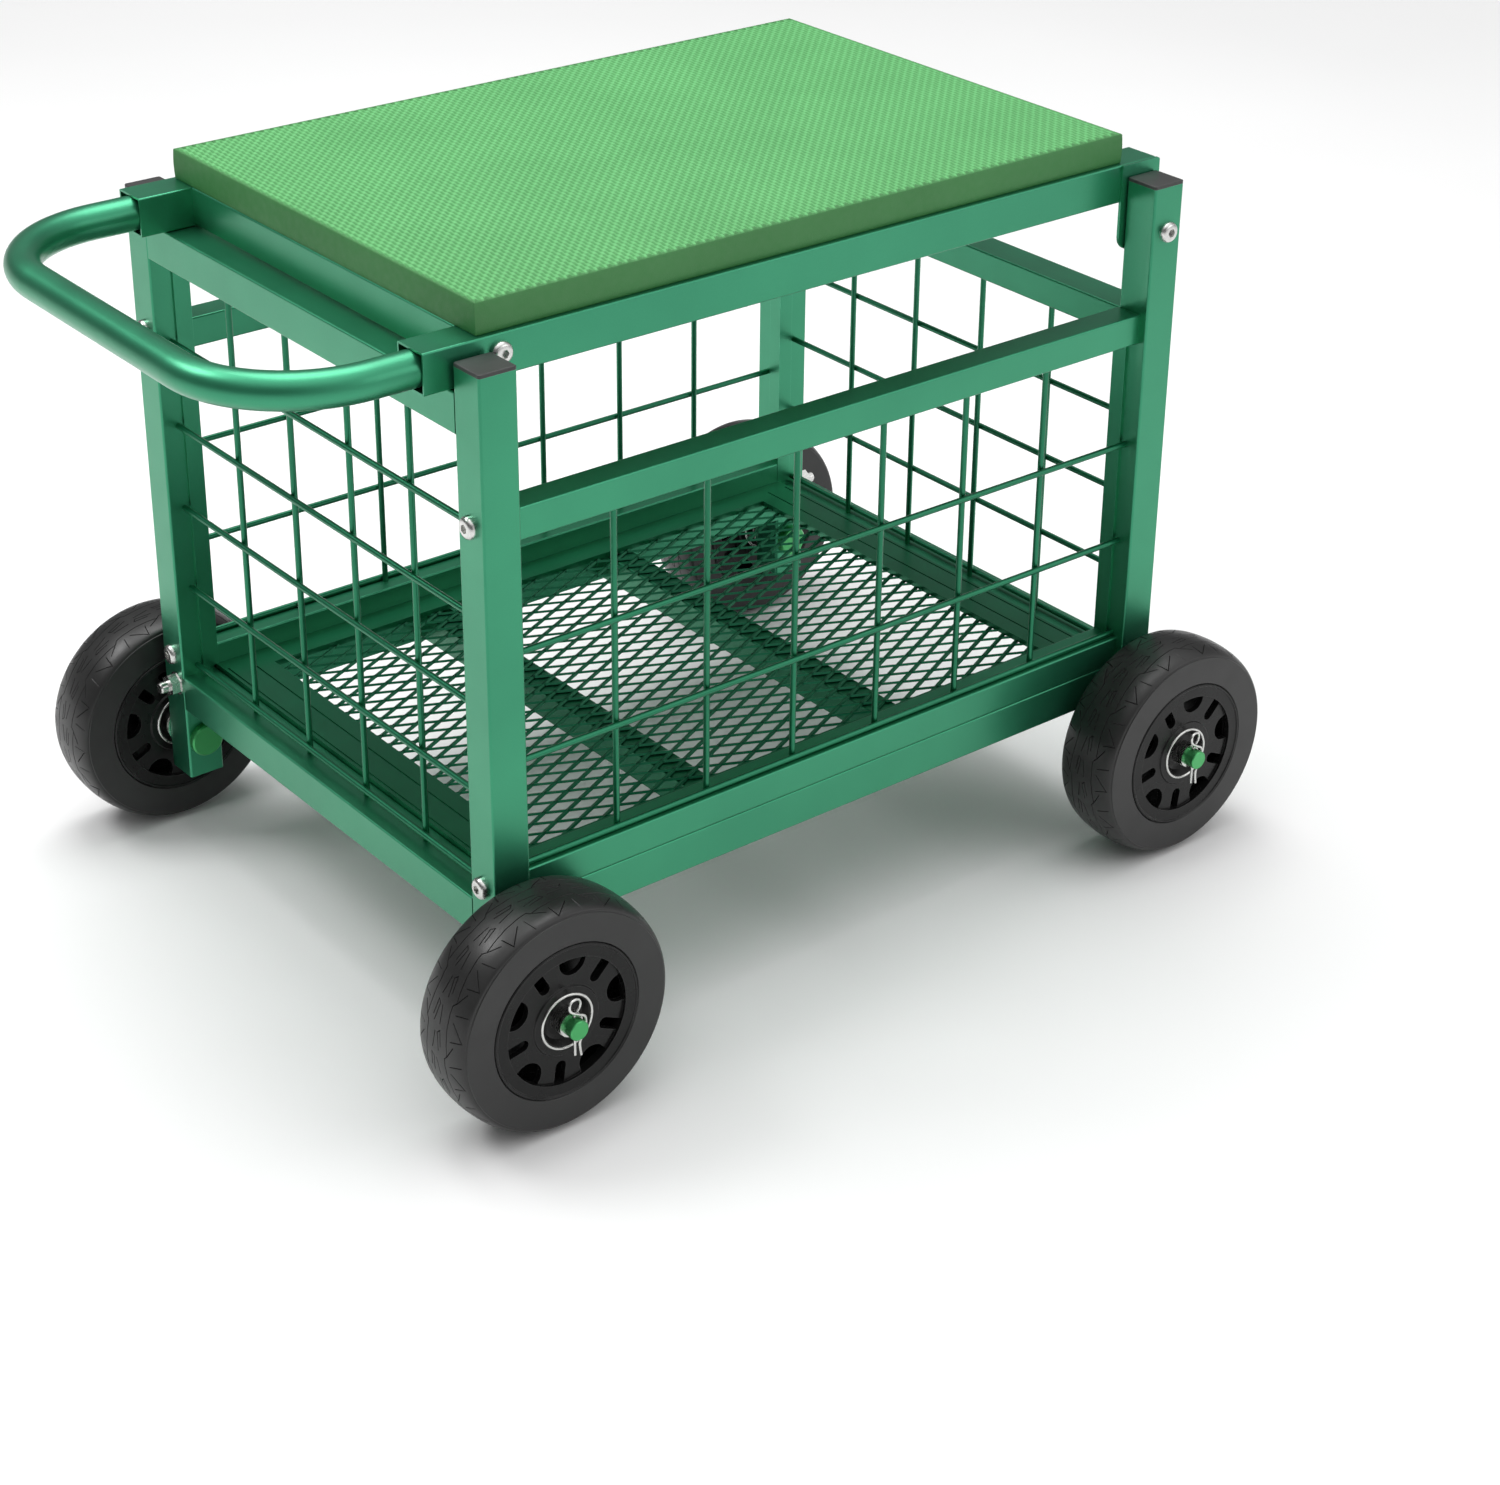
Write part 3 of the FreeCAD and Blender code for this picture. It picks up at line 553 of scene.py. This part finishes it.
def build_pad():
    low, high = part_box("seat_pad")
    centre = (low + high) / 2
    half = (high - low) / 2
    flat = (half.x - PAD_EDGE - PAD_SWELL, half.y - PAD_EDGE - PAD_SWELL)
    verts, faces = dimpled_top(half, flat)
    mesh = bmesh.new()
    made = [mesh.verts.new(v) for v in verts]
    for face in faces:
        mesh.faces.new([made[i] for i in face])
    rim = [edge for edge in mesh.edges if edge.is_boundary]
    top = half.z - PAD_CROWN
    out_share, down_share = PAD_ROUND
    rings = [(out_share * PAD_EDGE, top - down_share * PAD_EDGE), (PAD_EDGE, top - PAD_EDGE)]
    for k in range(1, SIDE_ROWS + 1):
        share = k / SIDE_ROWS
        swell = PAD_SWELL * math.sin(math.pi * share)
        rings.append((PAD_EDGE + swell, top - PAD_EDGE - (top + half.z - 2 * PAD_EDGE) * share))
    rings += [(out_share * PAD_EDGE, -half.z + down_share * PAD_EDGE), (0.0, -half.z)]
    for out, z in rings:
        grown = bmesh.ops.extrude_edge_only(mesh, edges=rim)["geom"]
        rim = [g for g in grown if isinstance(g, bmesh.types.BMEdge)]
        for vert in (g for g in grown if isinstance(g, bmesh.types.BMVert)):
            x, y, _ = vert.co
            if abs(x) > flat[0] - ON_RIM:
                x = math.copysign(flat[0] + out, x)
            if abs(y) > flat[1] - ON_RIM:
                y = math.copysign(flat[1] + out, y)
            vert.co = (x, y, z)
    bmesh.ops.contextual_create(mesh, geom=rim)
    bmesh.ops.recalc_face_normals(mesh, faces=mesh.faces)
    bmesh.ops.translate(mesh, verts=mesh.verts, vec=centre)
    mesh.verts.index_update()
    points = [tuple(v.co) for v in mesh.verts]
    skins = [[v.index for v in face.verts] for face in mesh.faces]
    mesh.free()
    obj = piece("foam_pad", points, skins, "lid", PAD_FOAM, ["seat_pad"], 50.0)
    obj.data.materials.append(DIMPLE_SHADE_FOAM)
    obj.data.materials.append(SIDE_SHADE_FOAM)
    # the sides take one darker foam copy as painted shade, and the dimple floors the other as painted shade
    # in the hollows
    for face in obj.data.polygons:
        corners = [obj.data.vertices[v].co - centre for v in face.vertices]
        drop = max(pad_height(c.x, c.y, half) - c.z for c in corners)
        inside = all(abs(c.x) < flat[0] and abs(c.y) < flat[1] for c in corners)
        if not inside or drop > 2 * DIMPLE_DEEP:
            face.material_index = SIDE_SHADE
        elif drop > 0.4 * DIMPLE_DEEP:
            face.material_index = DIMPLE_SHADE


# ------------------------------------------------------------------------------ expanded metal
MESH_PITCH = (13.7 * MM, 13.0 * MM)
MESH_REACH = (214.0 * MM, 153.0 * MM)
STRAND_WIDE = 3.0 * MM
STRAND_THICK = 1.6 * MM
STRAND_TILT = 24.0
BOND = 1.5 * MM
MESH_LIFT = 0.3 * MM


def strand(start, end):
    """One tilted strand between two bonds, as the eight corners of a thin bar."""
    along = (end - start).normalized()
    tilt = math.radians(STRAND_TILT)
    wide = Vector((0, math.cos(tilt), -math.sin(tilt)))
    wide = (wide - along * wide.dot(along)).normalized() * STRAND_WIDE / 2
    thick = along.cross(wide).normalized() * STRAND_THICK / 2
    ends = (start - along * BOND, end + along * BOND)
    return [tuple(at + wide * i + thick * j) for at in ends for i, j in ((-1, -1), (1, -1), (1, 1), (-1, 1))]


BAR_FACES = ((3, 2, 1, 0), (4, 5, 6, 7), (0, 1, 5, 4), (1, 2, 6, 5), (2, 3, 7, 6), (3, 0, 4, 7))


def build_floor_mesh():
    low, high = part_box("floor_mesh")
    centre = (low + high) / 2
    middle = centre + Vector((0, 0, MESH_LIFT))
    pitch_x, pitch_y = MESH_PITCH
    columns = int(MESH_REACH[0] / pitch_x) + 1
    rows = int(MESH_REACH[1] / pitch_y) + 1
    verts, faces = [], []
    for i in range(-columns, columns):
        for j in range(-rows, rows + 1):
            y = (j + ((i + 1) % 2) / 2) * pitch_y
            for step in (0.5, -0.5):
                far_y = y + step * pitch_y
                if max(abs(y), abs(far_y)) > MESH_REACH[1] + pitch_y / 2:
                    continue
                faces += [[v + len(verts) for v in face] for face in BAR_FACES]
                verts += strand(
                    middle + Vector((i * pitch_x, y, 0)), middle + Vector(((i + 1) * pitch_x, far_y, 0))
                )
    inner = [centre + Vector((sx * MESH_REACH[0], sy * MESH_REACH[1], 0)) for sx, sy in CORNERS]
    outer = [Vector((high.x if sx > 0 else low.x, high.y if sy > 0 else low.y, 0)) for sx, sy in CORNERS]
    start = len(verts)
    for z in (low.z, high.z):
        verts += [(p.x, p.y, z) for p in outer + inner]
    for k in range(4):
        a, b = start + k, start + (k + 1) % 4
        faces += [[b, a, a + 4, b + 4], [a + 8, b + 8, b + 12, a + 12], [a, b, b + 8, a + 8]]
        faces += [[b + 4, a + 4, a + 12, b + 12]]
    piece("expanded_metal", verts, faces, "frame", WIRE_PAINT, ["floor_mesh"])


# -------------------------------------------------------------------------------------- stage
FLOOR_REACH = 14.0
SKY_TOP = 1.35           # studio ceiling
SKY_LOW = 0.17           # walls all round
WALL_GLOW = 0.5          # extra light from the wall in front and to the right
GLOW_FROM = (0.62, -0.78, 0.1)


def build_stage():
    mesh = bpy.data.meshes.new("studio_floor")
    mesh.from_pydata([(x * FLOOR_REACH, y * FLOOR_REACH, 0) for x, y in CORNERS], [], [(0, 1, 2, 3)])
    floor = bpy.data.objects.new("studio_floor", mesh)
    bpy.context.scene.collection.objects.link(floor)
    look = Look("studio_floor", Roughness=0.6, Specular_IOR_Level=0.2)
    blotch = look.span(look.noise(1.5, 2.0), 0.3, 0.7)
    look.colour(look.blend(blotch, rgb(0.91, 0.91, 0.91), rgb(0.94, 0.94, 0.94)))
    wear(floor, look.material)


def build_world():
    """A pale room: bright ceiling, dimmer walls, and a soft glow from the front right."""
    world = bpy.data.worlds.new("studio")
    world.use_nodes = True
    tree = world.node_tree
    toward = tree.nodes.new("ShaderNodeTexCoord").outputs["Generated"]
    split = tree.nodes.new("ShaderNodeSeparateXYZ")
    tree.links.new(toward, split.inputs[0])
    rise = tree.nodes.new("ShaderNodeMapRange")
    rise.interpolation_type = "SMOOTHSTEP"
    tree.links.new(split.outputs["Z"], rise.inputs["Value"])
    for key, value in (("From Min", 0.5), ("From Max", 0.98), ("To Min", SKY_LOW), ("To Max", SKY_TOP)):
        rise.inputs[key].default_value = value
    facing = tree.nodes.new("ShaderNodeVectorMath")
    facing.operation = "DOT_PRODUCT"
    tree.links.new(toward, facing.inputs[0])
    facing.inputs[1].default_value = GLOW_FROM
    glow = tree.nodes.new("ShaderNodeMapRange")
    glow.interpolation_type = "SMOOTHSTEP"
    tree.links.new(facing.outputs["Value"], glow.inputs["Value"])
    for key, value in (("From Min", 0.2), ("From Max", 1.0), ("To Min", 0.0), ("To Max", WALL_GLOW)):
        glow.inputs[key].default_value = value
    total = tree.nodes.new("ShaderNodeMath")
    tree.links.new(rise.outputs["Result"], total.inputs[0])
    tree.links.new(glow.outputs["Result"], total.inputs[1])
    tree.links.new(total.outputs[0], tree.nodes["Background"].inputs["Strength"])
    tree.nodes["Background"].inputs["Color"].default_value = rgb(1.0, 1.0, 1.0)
    bpy.context.scene.world = world


def softbox(name, place, target, size, watts):
    lamp = bpy.data.lights.new(name, "AREA")
    lamp.shape = "RECTANGLE"
    lamp.size, lamp.size_y = size
    lamp.energy = watts
    obj = bpy.data.objects.new(name, lamp)
    obj.location = place
    obj.rotation_euler = (Vector(target) - Vector(place)).to_track_quat("-Z", "Y").to_euler()
    bpy.context.scene.collection.objects.link(obj)


def build_lights():
    softbox("key", (0.2, 0.45, 2.4), (0.1, -0.1, 0.1), (1.5, 1.5), 26)
    softbox("near_fill", (1.6, -2.4, 1.6), (0, 0, 0.25), (2.0, 1.4), 10)
    softbox("crown_light", (-1.1, 1.0, 1.9), (-0.2, -0.2, 0.1), (0.9, 0.6), 14)


CAMERA_AT = (-1.0446, -1.4285, 1.0721)
AZIMUTH = -38.950
ELEVATION = 26.019
ROLL = 0.655
LENS = 71.60
SENSOR = 36.0
RISE = -0.12             # vertical shift, in frame widths


def build_camera():
    data = bpy.data.cameras.new("camera")
    data.lens = LENS
    data.sensor_width = SENSOR
    data.shift_y = RISE
    data.clip_start, data.clip_end = 0.05, 60.0
    camera = bpy.data.objects.new("camera", data)
    bpy.context.scene.collection.objects.link(camera)
    azimuth, elevation, roll = (math.radians(a) for a in (AZIMUTH, ELEVATION, ROLL))
    level = math.cos(elevation)
    back = Vector((math.sin(azimuth) * level, -math.cos(azimuth) * level, math.sin(elevation)))
    right = Vector((0, 0, 1)).cross(back).normalized()
    up = back.cross(right)
    tilted = right * math.cos(roll) + up * math.sin(roll)
    upright = up * math.cos(roll) - right * math.sin(roll)
    turn = Matrix((tilted, upright, back)).transposed().to_4x4()
    camera.matrix_world = Matrix.Translation(CAMERA_AT) @ turn
    bpy.context.scene.camera = camera
    bpy.context.scene.view_settings.view_transform = "Standard"


build_camera()
build_stage()
build_world()
build_lights()
finish_nodes()
build_tyres()
build_floor_mesh()
build_pad()
